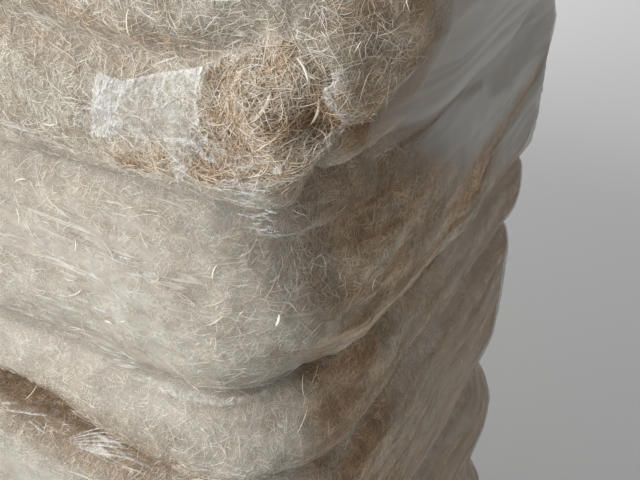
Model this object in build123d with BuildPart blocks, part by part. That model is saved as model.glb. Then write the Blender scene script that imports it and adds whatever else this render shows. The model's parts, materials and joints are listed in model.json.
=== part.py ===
from build123d import *
import math
import os

# A stack of soft plant-fibre insulation batts, wrapped in clear stretch film.
# The batts lie flat on each other. Each is a slab with rounded corners and rounded edges.
# The film is one thin sleeve round the four sides. It is drawn in at the groove between
# two batts, turns over the top edge as a rim, and stops just above the floor.
# It is torn open at the upper corner, where the bare fibre shows.
#
# Frame: +X along the length, +Y across it from front to back, +Z up.
# The origin is the centre of the underside of the lowest batt. Sizes are in millimetres.

# Batts, from the floor up
batt_length = 950
batt_width = 375
batt_thickness = [97, 110, 135, 58, 121, 125]
batt_corner_radius = [58, 62, 60, 56, 66, 44]
batt_edge_radius = [30, 30, 30, 24, 30, 30]

# How far each batt is pushed out of line when the stack is wrapped
shift_along = [0, -8, -12, -16, -8, 15]
shift_across = [0, 3, -3, 2, 4, -4]

# Film
film_wall = 0.5
film_clearance = 0.6
film_draw_in_angle = 35
film_floor_gap = 8
film_rim_width = 62
film_rim_corner_radius = 25

# Tears in the film on the top batt, by their size and the place of their middle: the rise
# is above the batt's underside. The large one is cut square to the batt's corner, and lies
# a little to the front of it.
corner_tear_width = 84
corner_tear_height = 64
corner_tear_rise = 47
corner_tear_to_front = 16
front_tear_width = 34
front_tear_height = 13
front_tear_rise = 20
front_tear_from_end = 97


class Outline:
    """A rounded rectangle seen from above, by its four sides and its corner radius."""

    def __init__(self, left, right, front, back, radius):
        self.left, self.right = left, right
        self.front, self.back = front, back
        self.radius = radius

    def grown(self, by):
        return Outline(
            self.left - by, self.right + by, self.front - by, self.back + by, self.radius + by
        )

    def draw(self, height):
        """The outline as a sketch on a level plane at that height."""
        centre = ((self.left + self.right) / 2, (self.front + self.back) / 2)
        with BuildSketch(Plane.XY.offset(height)) as sketch:
            with Locations(centre):
                RectangleRounded(self.right - self.left, self.back - self.front, self.radius)
        return sketch.sketch


batt_count = len(batt_thickness)
underside = [sum(batt_thickness[:i]) for i in range(batt_count)]
top = [underside[i] + batt_thickness[i] for i in range(batt_count)]
stack_height = top[-1]
batt_outline = [
    Outline(
        shift_along[i] - batt_length / 2,
        shift_along[i] + batt_length / 2,
        shift_across[i] - batt_width / 2,
        shift_across[i] + batt_width / 2,
        batt_corner_radius[i],
    )
    for i in range(batt_count)
]

os.makedirs("parts", exist_ok=True)

# Batts
for i in range(batt_count):
    with BuildPart() as batt:
        add(batt_outline[i].draw(underside[i]))
        extrude(amount=batt_thickness[i])
        level_faces = batt.faces().filter_by(Axis.Z)
        fillet(level_faces.edges(), radius=batt_edge_radius[i])
    batt.part.label = f"batt_{i + 1}"
    export_step(batt.part, f"parts/{batt.part.label}.step")


# Film
def tangent_reach(edge_radius, angle):
    """How far from a batt's face a line at that angle leaves the batt's side, so that it
    just touches the rounded edge."""
    turn = math.radians(angle)
    return edge_radius * (1 - math.sin(turn) + (1 - math.cos(turn)) / math.tan(turn))


slope = math.tan(math.radians(film_draw_in_angle))
film_reach = [tangent_reach(radius, film_draw_in_angle) for radius in batt_edge_radius]
film_foot_draw_in = (film_reach[0] - film_floor_gap) * slope
film_shoulder = tangent_reach(batt_edge_radius[-1], 45)
film_top = stack_height + film_clearance


def groove_outline(lower, upper, reach):
    """The film's outline in the groove between two batts: it bridges the one that stands
    further out on each side, drawn in by the same amount all round."""
    return Outline(
        min(lower.left, upper.left),
        max(lower.right, upper.right),
        min(lower.front, upper.front),
        max(lower.back, upper.back),
        min(lower.radius, upper.radius),
    ).grown(-reach * slope)


def film_levels(inset):
    """Heights and outlines that the film passes through, from its foot to its top edge."""
    sides = [outline.grown(film_clearance + film_wall - inset) for outline in batt_outline]
    levels = [(film_floor_gap, sides[0].grown(-film_foot_draw_in))]
    for i in range(batt_count):
        if i > 0:
            reach = min(film_reach[i - 1], film_reach[i])
            levels.append((underside[i], groove_outline(sides[i - 1], sides[i], reach)))
        levels.append((underside[i] + film_reach[i], sides[i]))
        if i < batt_count - 1:
            levels.append((top[i] - film_reach[i], sides[i]))
    film_end = film_top + film_wall - inset
    levels.append((film_end - film_shoulder, sides[-1]))
    levels.append((film_end, sides[-1].grown(-film_shoulder)))
    return levels


def film_body(inset):
    """The film's outer shape as a solid, or its hollow when inset is the wall."""
    with BuildPart() as body:
        for height, outline in film_levels(inset):
            add(outline.draw(height))
        loft(ruled=True)
    return body.part


def tear_outline(plane, width, height):
    """A ragged hole as wide and as high as given, centred on the plane's origin. The plane
    stands clear of the film, on its outer side."""
    shape = [
        (-0.5, -0.1),
        (-0.42, 0.36),
        (-0.12, 0.42),
        (0.2, 0.5),
        (0.5, 0.2),
        (0.4, -0.28),
        (0.08, -0.5),
        (-0.3, -0.44),
    ]
    with BuildSketch(plane) as sketch:
        with BuildLine():
            Polyline([(width * x, height * y) for x, y in shape], close=True)
        make_face()
    return sketch.sketch


corner_x = batt_outline[-1].right
corner_y = batt_outline[-1].front
corner_plane = Plane(
    origin=(
        corner_x - corner_tear_to_front,
        corner_y - corner_tear_to_front,
        underside[-1] + corner_tear_rise,
    ),
    x_dir=(1, 1, 0),
    z_dir=(1, -1, 0),
)
front_plane = Plane(
    origin=(corner_x - front_tear_from_end, corner_y, underside[-1] + front_tear_rise),
    x_dir=(1, 0, 0),
    z_dir=(0, -1, 0),
).offset(front_tear_width)
rim_opening = batt_outline[-1].grown(-film_rim_width)
rim_opening.radius = film_rim_corner_radius
corner_tear = tear_outline(corner_plane, corner_tear_width, corner_tear_height)
front_tear = tear_outline(front_plane, front_tear_width, front_tear_height)
film_outer = film_body(0)
film_hollow = film_body(film_wall)

with BuildPart() as film:
    add(film_outer)
    add(film_hollow, mode=Mode.SUBTRACT)
    add(rim_opening.draw(stack_height))
    extrude(amount=film_rim_width, mode=Mode.SUBTRACT)
    extrude(corner_tear, amount=-corner_tear_width, mode=Mode.SUBTRACT)
    extrude(front_tear, amount=-2 * front_tear_width, mode=Mode.SUBTRACT)
film.part.label = "stretch_film"
export_step(film.part, "parts/stretch_film.step")
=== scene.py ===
import json
import math

import bpy
import numpy as np
from mathutils import Matrix, Vector, noise
from mathutils.bvhtree import BVHTree

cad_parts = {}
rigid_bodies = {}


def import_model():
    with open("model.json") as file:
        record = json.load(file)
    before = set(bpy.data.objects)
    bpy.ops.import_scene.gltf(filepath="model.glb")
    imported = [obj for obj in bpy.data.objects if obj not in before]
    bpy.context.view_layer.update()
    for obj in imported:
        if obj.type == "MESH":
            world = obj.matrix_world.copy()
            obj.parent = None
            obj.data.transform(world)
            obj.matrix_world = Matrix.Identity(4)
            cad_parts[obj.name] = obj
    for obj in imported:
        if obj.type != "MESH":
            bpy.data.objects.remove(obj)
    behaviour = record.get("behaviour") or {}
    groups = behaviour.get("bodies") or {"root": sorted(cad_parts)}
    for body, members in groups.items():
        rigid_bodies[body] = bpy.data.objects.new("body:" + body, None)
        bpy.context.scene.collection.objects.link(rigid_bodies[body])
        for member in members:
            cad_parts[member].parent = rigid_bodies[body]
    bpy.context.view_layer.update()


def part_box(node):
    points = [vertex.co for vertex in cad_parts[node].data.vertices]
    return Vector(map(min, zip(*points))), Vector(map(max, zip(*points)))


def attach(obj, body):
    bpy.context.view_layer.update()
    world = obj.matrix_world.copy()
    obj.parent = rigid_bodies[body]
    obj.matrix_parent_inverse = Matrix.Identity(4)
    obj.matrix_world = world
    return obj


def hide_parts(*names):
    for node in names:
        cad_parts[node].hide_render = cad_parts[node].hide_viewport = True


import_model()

# A stack of soft plant-fibre batts in clear stretch film. Lengths are in metres.
# A place on a batt's side is given by its run and its height. The run goes round the
# batt's outline and is counted from the middle of the front right corner: negative along
# the front, positive along the end.

# Batts, from the floor up, with their corners seen from above
batt_names = ["batt_1", "batt_2", "batt_3", "batt_4", "batt_5", "batt_6"]
corner_radius = [0.058, 0.062, 0.060, 0.056, 0.066, 0.044]
edge_radius = 0.006
top_edge_radius = 0.028
batt_mesh = 0.0095

# A batt's faces are cut finer where their nearness to the front right corner, from 0 to 1,
# passes each of these
finer_from = (0.05, 0.45)

# How soft a batt's sides are: the bulge, how far in it starts, and the size and the depth
# of the lumps
side_bulge = 0.0030
side_inset = 0.001
coarse_lumps = [(0.080, 0.0034), (0.030, 0.0018)]
fine_lumps = [(0.012, 0.0012), (0.005, 0.0007)]

# The edges are drawn in along corners of this radius. Away from the tables below, that is
# how far and from where on a straight side, and how much more at a corner.
draw_in_radius = 0.085
plain_draw_in = (0.005, 0.018)
plain_draw_in_start = (0.022, 0.026)

# The lower and upper edges near the front right corner, as run, how far the edge is
# drawn in, how far from the edge that starts, and how far from it that is complete
lower_edges = {
    "batt_6": [
        (-0.300, 0.002, 0.020, 0.000), (-0.120, 0.003, 0.022, 0.000),
        (-0.060, 0.006, 0.026, 0.000), (-0.030, 0.012, 0.030, 0.000),
        (-0.018, 0.021, 0.036, 0.005), (-0.008, 0.038, 0.046, 0.018),
        (0.000, 0.048, 0.052, 0.025), (0.009, 0.050, 0.056, 0.028),
        (0.020, 0.046, 0.065, 0.034), (0.040, 0.038, 0.073, 0.036),
        (0.070, 0.032, 0.077, 0.034), (0.120, 0.028, 0.075, 0.026),
        (0.200, 0.025, 0.072, 0.018), (0.330, 0.024, 0.068, 0.010),
    ],
    "batt_5": [
        (-0.300, 0.010, 0.030, 0.000), (-0.168, 0.011, 0.032, 0.000),
        (-0.053, 0.012, 0.040, 0.000), (-0.032, 0.015, 0.044, 0.000),
        (-0.010, 0.020, 0.050, 0.002), (0.020, 0.024, 0.056, 0.004),
        (0.055, 0.018, 0.046, 0.000), (0.110, 0.010, 0.034, 0.000),
        (0.330, 0.005, 0.024, 0.000),
    ],
    "batt_4": [
        (-0.300, 0.024, 0.044, 0.012), (-0.175, 0.023, 0.042, 0.012),
        (-0.130, 0.020, 0.038, 0.008), (-0.100, 0.015, 0.028, 0.002),
        (-0.060, 0.012, 0.020, 0.000), (-0.030, 0.012, 0.022, 0.000),
        (0.000, 0.022, 0.032, 0.000), (0.050, 0.012, 0.024, 0.000),
        (0.330, 0.006, 0.018, 0.000),
    ],
}
upper_edges = {
    "batt_5": [
        (-0.300, -0.004, 0.050, 0.000), (-0.100, -0.004, 0.050, 0.000),
        (-0.060, -0.003, 0.042, 0.000), (-0.035, 0.002, 0.040, 0.000),
        (-0.012, 0.010, 0.048, 0.000),
        (0.000, 0.021, 0.058, 0.000), (0.020, 0.029, 0.066, 0.000),
        (0.060, 0.020, 0.056, 0.000), (0.120, 0.010, 0.036, 0.000),
        (0.330, 0.004, 0.024, 0.000),
    ],
    "batt_4": [
        (-0.300, 0.007, 0.022, 0.000), (-0.100, 0.007, 0.022, 0.000),
        (0.000, 0.016, 0.028, 0.000), (0.060, 0.010, 0.024, 0.000),
        (0.330, 0.005, 0.018, 0.000),
    ],
    "batt_3": [
        (-0.300, 0.001, 0.014, 0.000), (-0.100, 0.003, 0.016, 0.000),
        (0.000, 0.018, 0.030, 0.000), (0.060, 0.010, 0.022, 0.000),
        (0.330, 0.006, 0.020, 0.000),
    ],
}

# Hollows pressed into the sides: batt, a line of runs and heights, width and depth
hollows = [
    ("batt_6", [(-0.300, 0.584), (-0.150, 0.582), (-0.110, 0.580), (-0.082, 0.580),
                (-0.069, 0.582), (-0.056, 0.587), (-0.039, 0.596)], 0.009, 0.0080),
    ("batt_6", [(-0.039, 0.596), (-0.016, 0.611), (0.010, 0.640)], 0.012, 0.0045),
    ("batt_6", [(-0.013, 0.571), (-0.002, 0.566)], 0.009, 0.0065),
    ("batt_6", [(-0.016, 0.596), (-0.008, 0.590)], 0.007, 0.0030),
    ("batt_6", [(-0.036, 0.580), (-0.026, 0.566)], 0.008, -0.0050),
    ("batt_5", [(0.034, 0.448), (0.060, 0.444)], 0.010, 0.0060),
]

# Tears in the film over the top batt, by run and height
tears = [
    [
        (-0.052, 0.587), (-0.037, 0.595), (-0.025, 0.601), (-0.016, 0.598),
        (-0.006, 0.591), (-0.003, 0.581), (-0.005, 0.571), (-0.011, 0.563),
        (-0.021, 0.550), (-0.037, 0.544), (-0.060, 0.539), (-0.066, 0.549),
        (-0.053, 0.569),
    ],
    [(-0.099, 0.539), (-0.084, 0.545), (-0.068, 0.548), (-0.069, 0.537), (-0.101, 0.530)],
]

# Browner bands of fibre, most with painted shade too, in hollows, grooves and recesses and on the
# shaded end: batt, run and height along the band, width, how brown, how much shade is painted
brown_and_shade_bands = [
    ("batt_6", [(-0.016, 0.573), (-0.004, 0.567)], 0.009, 1.0, 0.60),
    ("batt_6", [(0.004, 0.604), (0.009, 0.575), (0.004, 0.555)], 0.010, 0.7, 0.30),
    ("batt_6", [(-0.014, 0.540), (0.006, 0.550), (0.060, 0.552)], 0.016, 0.9, 0.45),
    ("batt_6", [(-0.300, 0.612), (-0.180, 0.606), (-0.100, 0.590), (-0.060, 0.590)],
     0.009, 0.7, 0.2),
    ("batt_6", [(-0.300, 0.578), (-0.150, 0.577), (-0.082, 0.577)], 0.006, 0.5, 0.15),
    ("batt_5", [(-0.004, 0.512), (0.030, 0.500), (0.110, 0.480)], 0.026, 0.9, 0.25),
    ("batt_5", [(0.010, 0.470), (0.060, 0.446), (0.125, 0.432)], 0.014, 0.9, 0.3),
    ("batt_5", [(0.125, 0.432), (0.219, 0.468), (0.310, 0.482), (0.350, 0.500)],
     0.016, 1.0, 0.0),
    ("batt_5", [(0.034, 0.446), (0.062, 0.443)], 0.010, 1.0, 0.7),
    ("batt_5", [(0.160, 0.513), (0.172, 0.546)], 0.010, 0.9, 0.0),
    ("batt_4", [(-0.400, 0.356), (-0.156, 0.356), (-0.128, 0.355), (-0.070, 0.350)],
     0.027, 1.0, 0.25),
    ("batt_4", [(-0.620, 0.349), (-0.400, 0.352)], 0.016, 0.7, 0.10),
    ("batt_3", [(-0.600, 0.343), (-0.070, 0.343)], 0.007, 1.0, 0.30),
    ("batt_3", [(-0.168, 0.343), (-0.140, 0.338), (-0.110, 0.334), (-0.080, 0.334)],
     0.011, 1.0, 0.20),
    ("batt_4", [(0.020, 0.372), (0.120, 0.366), (0.280, 0.372)], 0.014, 0.6, 0.1),
    ("batt_3", [(0.020, 0.290), (0.200, 0.280)], 0.030, 0.6, 0.1),
]

# Film: how far it stands off, the outline that its rays start from, its foot and its rim
film_gap = 0.0012
film_start = 0.028
film_corner_radius = 0.080
film_foot = 0.009
film_rim = 0.060
film_rim_uneven = 0.014

# The film's mesh, finer above this height and between these runs
film_fine_height = 0.270
film_fine_run = (-0.24, 0.26)
film_rows_low = 0.0080
film_rows_high = 0.0027
film_column_fine = 0.0030
film_column_coarse = 0.0120

# How far a ray looks for a batt, and how far the film lies along it where there is none
ray_reach = 0.13
film_untouched = 0.085

# How steeply the film leaves what it touches, up and down the front, how much less steeply
# on the end, and how steeply along the stack
film_slope = 1.15
film_slope_less = 0.79
film_slope_along = 0.30

# Over how many rows and columns it is pulled tight, and how often its lie is evened out
film_reach_rows = 64
film_reach_columns = 6
film_easing = 4

# How high the film's long and short folds stand, and the height that counts as a full one
long_fold = 0.0011
short_fold = 0.0004
full_fold = 0.0013

# How near to a tear the film's edge still shows, and how far inside it no film is left
tear_near = 0.03
tear_open = -0.004

# Runs between which the look of the end gives way to that of the back
end_to_back = (0.36, 0.44)

# Grooves on the front that the film bridges: height, reach, and how tight away from the
# corner and near it
film_bridges = [(0.400, 0.024, 0.20, 0.35), (0.521, 0.024, 0.25, 0.75)]

# Where the film is clear and the fibre shows: a recess on the front, and streaks on the
# end, each as its line, its width and how much clearer
clear_recess = [(-0.60, 0.350), (-0.30, 0.357), (-0.156, 0.357), (-0.07, 0.350)]
clear_streaks = [
    ([(0.125, 0.432), (0.160, 0.447), (0.187, 0.458), (0.219, 0.468),
      (0.261, 0.469), (0.310, 0.482), (0.350, 0.500)], 0.012, 0.50),
    ([(0.070, 0.508), (0.087, 0.516), (0.119, 0.5215), (0.180, 0.508)], 0.0035, 0.30),
    ([(0.050, 0.470), (0.085, 0.487), (0.110, 0.480)], 0.006, 0.15),
]

# Camera, by the place it stands and the way it is turned
camera_place = Vector((0.601, -0.4455, 0.726))
camera_right = Vector((0.8826, 0.4698, 0.0305))
camera_up = Vector((-0.2899, 0.4914, 0.8212))
camera_lens = 53.7

# Farther than any place on the stack, and the smallest corner of an outline
far_away = 9.0
least_corner = 0.012


# Helpers for pieces

def object_mode():
    if bpy.context.object and bpy.context.object.mode != "OBJECT":
        bpy.ops.object.mode_set(mode="OBJECT")


def take(*pieces):
    """Selects only these pieces, and makes the first one active."""
    object_mode()
    bpy.ops.object.select_all(action="DESELECT")
    for piece in pieces:
        piece.select_set(True)
    bpy.context.view_layer.objects.active = pieces[0]


def new_piece(name):
    piece = bpy.context.object
    piece.name = name
    piece.data.name = name
    return piece


def make_grid(name, columns, rows):
    """A grid, and how far along and up it each point is, from 0 to 1."""
    bpy.ops.mesh.primitive_grid_add(
        x_subdivisions=columns, y_subdivisions=rows, size=2, location=(0, 0, 0)
    )
    grid = new_piece(name)
    along, up, _ = (points_of(grid).T + 1) / 2
    return grid, along, up


def make_rod(name, sides, cuts):
    """A rod along x, a metre long and thick, cut across so that it can be bent."""
    bpy.ops.mesh.primitive_cylinder_add(
        vertices=sides, radius=0.5, depth=1, location=(0, 0, 0), rotation=(0, math.pi / 2, 0)
    )
    rod = new_piece(name)
    apply_place(rod)
    select_edges(rod, lambda a, b: abs(a.x - b.x) > 0.5)
    bpy.ops.mesh.subdivide(number_cuts=cuts)
    object_mode()
    return rod


def apply_modifiers(piece):
    take(piece)
    for modifier in list(piece.modifiers):
        bpy.ops.object.modifier_apply(modifier=modifier.name)


def apply_place(piece):
    take(piece)
    bpy.ops.object.transform_apply(location=True, rotation=True, scale=True)


def copy_of(piece, name):
    """A copy of a piece with its own mesh."""
    take(piece)
    bpy.ops.object.duplicate()
    return new_piece(name)


def joined(pieces, name):
    take(*pieces)
    bpy.ops.object.join()
    return new_piece(name)


def select_edges(piece, wanted):
    """Selects the edges whose two ends pass the test, and leaves the piece in edit mode."""
    take(piece)
    bpy.ops.object.mode_set(mode="EDIT")
    bpy.ops.mesh.select_mode(type="EDGE")
    bpy.ops.mesh.select_all(action="DESELECT")
    bpy.ops.object.mode_set(mode="OBJECT")
    vertices = piece.data.vertices
    for edge in piece.data.edges:
        a, b = (vertices[i].co for i in edge.vertices)
        edge.select = wanted(a, b)
    bpy.ops.object.mode_set(mode="EDIT")


def select_faces(piece, wanted):
    """Selects the faces marked in the list, and leaves the piece in edit mode."""
    take(piece)
    bpy.ops.object.mode_set(mode="EDIT")
    bpy.ops.mesh.select_mode(type="FACE")
    bpy.ops.mesh.select_all(action="DESELECT")
    bpy.ops.object.mode_set(mode="OBJECT")
    piece.data.polygons.foreach_set("select", np.asarray(wanted, bool))
    bpy.ops.object.mode_set(mode="EDIT")


def points_of(piece):
    points = np.zeros(len(piece.data.vertices) * 3, np.float32)
    piece.data.vertices.foreach_get("co", points)
    return points.reshape(-1, 3).astype(float)


def face_centres(piece):
    centres = np.zeros(len(piece.data.polygons) * 3, np.float32)
    piece.data.polygons.foreach_get("center", centres)
    return centres.reshape(-1, 3).astype(float)


def move_points(piece, points):
    piece.data.vertices.foreach_set("co", points.astype(np.float32).ravel())
    piece.data.update()


def paint(piece, name, values):
    """Stores one number for each point of the piece, for its material or its fibres."""
    attribute = piece.data.attributes.new(name, "FLOAT", "POINT")
    attribute.data.foreach_set("value", np.asarray(values, np.float32))


def lay_map(piece, across, up, around, flat=False):
    """Gives the piece its surface map from the place of each point, in metres. Where the
    map closes round the stack, its seam is mended. Level faces may take theirs from above."""
    mesh = piece.data
    corners = np.zeros(len(mesh.loops), np.int32)
    mesh.loops.foreach_get("vertex_index", corners)
    starts = np.zeros(len(mesh.polygons), np.int32)
    totals = np.zeros(len(mesh.polygons), np.int32)
    mesh.polygons.foreach_get("loop_start", starts)
    mesh.polygons.foreach_get("loop_total", totals)
    u, v = across[corners], up[corners]
    highest = np.repeat(np.maximum.reduceat(u, starts), totals)
    u = np.where(highest - u > around / 2, u + around, u)
    if flat:
        normals = np.zeros(len(mesh.polygons) * 3, np.float32)
        mesh.polygons.foreach_get("normal", normals)
        level = np.repeat(np.abs(normals.reshape(-1, 3)[:, 2]) > 0.78, totals)
        points = points_of(piece)[corners]
        u = np.where(level, points[:, 0], u)
        v = np.where(level, points[:, 1] + 3, v)
    surface = mesh.uv_layers.new(name="surface")
    surface.data.foreach_set("uv", np.column_stack([u, v]).astype(np.float32).ravel())


def smooth_step(low, high, x):
    t = np.clip((np.asarray(x, float) - low) / (high - low), 0, 1)
    return t * t * (3 - 2 * t)


def hump(distance, width):
    """1 at no distance, fading out over about the width."""
    return np.exp(-((distance / width) ** 2))


def window(rise, risen, fall, fallen, x):
    """A smooth step up to 1 and a smooth step down again."""
    return smooth_step(rise, risen, x) * (1 - smooth_step(fall, fallen, x))


def noise_at(places, shift=(0, 0, 0)):
    """Smooth noise from about -1 to 1 at each place."""
    shift = Vector(shift)
    return np.array([noise.noise(Vector(place) + shift) for place in places])


def rough(points, size, seed):
    """Smooth noise at each point, with lumps of about the given size."""
    return noise_at(np.asarray(points) / size, (seed * 7.3, seed * 3.1, seed * 5.7))


def sharp_folds(run, up, length, spacing, seed, narrow):
    """Sharp folds of about that length and spacing on the stack's side, from 0 to 1."""
    places = np.column_stack([run / length, up / spacing, np.full(len(run), seed)])
    return np.maximum(1 - narrow * np.abs(noise_at(places)), 0) ** 2


def line_distance(run, height, line):
    """How far each place on a side lies from a line of places."""
    best = np.full(len(run), far_away)
    for (run_a, height_a), (run_b, height_b) in zip(line, line[1:]):
        along = np.array((run_b - run_a, height_b - height_a))
        share = ((run - run_a) * along[0] + (height - height_a) * along[1]) / (along @ along)
        share = np.clip(share, 0, 1)
        gap = np.hypot(run - run_a - share * along[0], height - height_a - share * along[1])
        best = np.minimum(best, gap)
    return best


def hole_distance(run, height, hole):
    """How far each place on a side lies outside a ragged hole; below zero is inside it."""
    edge = line_distance(run, height, hole + hole[:1])
    inside = np.zeros(len(run), bool)
    for (run_a, height_a), (run_b, height_b) in zip(hole, hole[1:] + hole[:1]):
        if height_a != height_b:
            between = (height_a > height) != (height_b > height)
            cross = run_a + (height - height_a) / (height_b - height_a) * (run_b - run_a)
            inside ^= between & (run < cross)
    return np.where(inside, -edge, edge)


def tear_distance(run, height, farthest=far_away):
    """How far each place on a side lies outside the nearest tear, up to the farthest."""
    gaps = [hole_distance(run, height, hole) for hole in tears]
    return np.minimum(np.min(gaps, axis=0), farthest)


# Helpers for nodes

def feed(tree, socket, value):
    """Links a socket from another, or sets its value."""
    if isinstance(value, bpy.types.NodeSocket):
        tree.links.new(value, socket)
    else:
        socket.default_value = value


def add_node(tree, kind, inputs=None, **settings):
    """Adds a node with its settings, and feeds its inputs."""
    made = tree.nodes.new(kind)
    for name, value in settings.items():
        setattr(made, name, value)
    for name, value in (inputs or {}).items():
        feed(tree, made.inputs[name], value)
    return made


def maths(tree, operation, *values, clamp=False):
    inputs = dict(enumerate(values))
    made = add_node(tree, "ShaderNodeMath", inputs, operation=operation, use_clamp=clamp)
    return made.outputs[0]


def vector_maths(tree, operation, a, b):
    made = add_node(tree, "ShaderNodeVectorMath", {0: a, 1: b}, operation=operation)
    return made.outputs[0]


def step_between(tree, value, low, high, out_low=0.0, out_high=1.0):
    """A smooth step of the value from one level to another."""
    made = add_node(tree, "ShaderNodeMapRange", {
        "Value": value, "From Min": low, "From Max": high,
        "To Min": out_low, "To Max": out_high,
    }, interpolation_type="SMOOTHSTEP")
    return made.outputs[0]


def blend_colours(tree, share, a, b, way="MIX"):
    made = add_node(
        tree, "ShaderNodeMix", {0: share, 6: a, 7: b}, data_type="RGBA", blend_type=way
    )
    return made.outputs[2]


def blend_numbers(tree, share, a, b):
    return add_node(tree, "ShaderNodeMix", {0: share, 2: a, 3: b}).outputs[0]


def colour_steps(tree, value, steps):
    ramp = add_node(tree, "ShaderNodeValToRGB", {"Fac": value})
    elements = ramp.color_ramp.elements
    while len(elements) < len(steps):
        elements.new(0.5)
    for element, (position, colour) in zip(elements, steps):
        element.position = position
        element.color = (*colour, 1)
    return ramp.outputs["Color"]


def attribute(tree, name):
    return add_node(tree, "ShaderNodeAttribute", attribute_name=name).outputs["Fac"]


def object_place(tree):
    return add_node(tree, "ShaderNodeTexCoord").outputs["Object"]


def surface_place(tree):
    return add_node(tree, "ShaderNodeUVMap", uv_map="surface").outputs[0]


def random_number(tree, low, high, seed):
    inputs = {2: low, 3: high, "Seed": seed}
    return add_node(tree, "FunctionNodeRandomValue", inputs, data_type="FLOAT").outputs[1]


def random_vector(tree, low, high, seed):
    inputs = {0: low, 1: high, "Seed": seed}
    made = add_node(tree, "FunctionNodeRandomValue", inputs, data_type="FLOAT_VECTOR")
    return made.outputs[0]


def node_group(name, kind, inputs, outputs):
    """A new node group with its inputs and outputs, each by name and kind."""
    group = bpy.data.node_groups.new(name, kind)
    for way, sockets in (("INPUT", inputs), ("OUTPUT", outputs)):
        for label, socket in sockets:
            group.interface.new_socket(label, in_out=way, socket_type=f"NodeSocket{socket}")
    return group, group.nodes.new("NodeGroupInput"), group.nodes.new("NodeGroupOutput")


def use_group(tree, group, inputs):
    return add_node(tree, "ShaderNodeGroup", inputs, node_tree=group)


def new_material(name, roughness, specular=0.5):
    material = bpy.data.materials.new(name)
    material.use_nodes = True
    shader = material.node_tree.nodes["Principled BSDF"]
    shader.inputs["Roughness"].default_value = roughness
    shader.inputs["Specular IOR Level"].default_value = specular
    return material, material.node_tree, shader


def add_bump(tree, shader, height, strength, distance):
    bump = add_node(tree, "ShaderNodeBump", {
        "Strength": strength, "Distance": distance, "Height": height,
    })
    tree.links.new(bump.outputs[0], shader.inputs["Normal"])


def coat(piece, material):
    piece.data.materials.clear()
    piece.data.materials.append(material)


# The outline of a batt or of the stack, seen from above

class Outline:
    """A rounded rectangle, and places on it by their run from the front right corner."""

    def __init__(self, low, high, radius):
        self.centre = np.array(((low[0] + high[0]) / 2, (low[1] + high[1]) / 2))
        self.half = np.array(((high[0] - low[0]) / 2, (high[1] - low[1]) / 2))
        self.radius = radius
        self.corner = self.half - radius
        straight = 2 * self.corner
        arc = math.pi / 2 * radius
        self.lengths = [straight[0], arc, straight[1], arc] * 2
        self.total = sum(self.lengths)
        self.start = -(straight[0] + arc / 2)

    def excess(self, points):
        away = points[:, :2] - self.centre
        return away, np.abs(away) - self.corner

    def depth(self, points):
        """How far each point lies inside the outline."""
        _, q = self.excess(points)
        outside = np.linalg.norm(np.maximum(q, 0), axis=1)
        return self.radius - outside - np.minimum(q.max(axis=1), 0)

    def facing(self, points):
        """The level direction in which the side nearest to each point faces."""
        away, q = self.excess(points)
        direction = np.maximum(q, 1e-9)
        beside = (q <= 0).any(axis=1)
        along_x = q[:, 0] > q[:, 1]
        direction[beside & along_x] = (1, 0)
        direction[beside & ~along_x] = (0, 1)
        direction /= np.linalg.norm(direction, axis=1)[:, None]
        return direction * np.where(away < 0, -1, 1)

    def cornered(self, points, spread):
        """1 at the middle of a corner, fading out along both sides."""
        _, q = self.excess(points)
        return smooth_step(-spread, self.radius * 0.6, q.min(axis=1))

    def run(self, points):
        """The run of each point, from the middle of the front right corner."""
        away, _ = self.excess(points)
        turned = self.facing(points)
        angle = np.arctan2(turned[:, 1], turned[:, 0])
        quarter = math.pi / 2
        run = np.zeros(len(points))
        begin = 0.0
        ways = [(1, 0, -1), (0, 1, 0), (-1, 0, 1), (0, -1, 2)]
        for order, (along_x, along_y, side) in enumerate(ways):
            along = away[:, 0] * along_x + away[:, 1] * along_y
            off_side = (angle - side * quarter + math.pi) % math.tau - math.pi
            on_side = np.isclose(np.abs(off_side), 0)
            length = self.lengths[2 * order]
            run = np.where(on_side, begin + along + length / 2, run)
            begin += length
            turn = (angle - side * quarter) % math.tau
            on_corner = (turn > 1e-6) & (turn < quarter - 1e-6)
            run = np.where(on_corner, begin + turn * self.radius, run)
            begin += self.lengths[2 * order + 1]
        return self.shorter_way(run + self.start)

    def shorter_way(self, run):
        """The same run, counted the shorter way round."""
        return (run + self.total / 2) % self.total - self.total / 2

    def place(self, run, inset):
        """The point and the facing at a run, on the outline drawn in by inset."""
        run = (run - self.start) % self.total
        radius = max(self.radius - inset, least_corner)
        side = 0
        while run > self.lengths[side]:
            run -= self.lengths[side]
            side += 1
        share = run / self.lengths[side]
        corner = self.half - inset - radius
        quarter = math.pi / 2
        turn = (side // 2 - 1) * quarter
        if side % 2:
            angle = turn + share * quarter
            signs = [(1, -1), (1, 1), (-1, 1), (-1, -1)][side // 2]
            facing = np.array((math.cos(angle), math.sin(angle)))
            return self.centre + corner * signs + facing * radius, facing
        facing = np.array((math.cos(turn), math.sin(turn)))
        ends = [(-1, -1), (1, -1), (1, 1), (-1, 1), (-1, -1)]
        a, b = (corner * ends[side // 2 + i] for i in (0, 1))
        return self.centre + a + (b - a) * share + facing * radius, facing


# Batts

def batt_outline(name):
    low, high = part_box(name)
    return Outline(low, high, corner_radius[batt_names.index(name)])


def near_corner(run, height):
    """1 on the sides near the front right corner from the third batt up, 0 elsewhere."""
    return window(-0.30, -0.22, 0.24, 0.32, run) * smooth_step(0.27, 0.31, height)


def side_share(depth):
    """1 on a batt's sides, fading out over its level faces."""
    return 1 - smooth_step(0.010, 0.050, depth)


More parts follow.
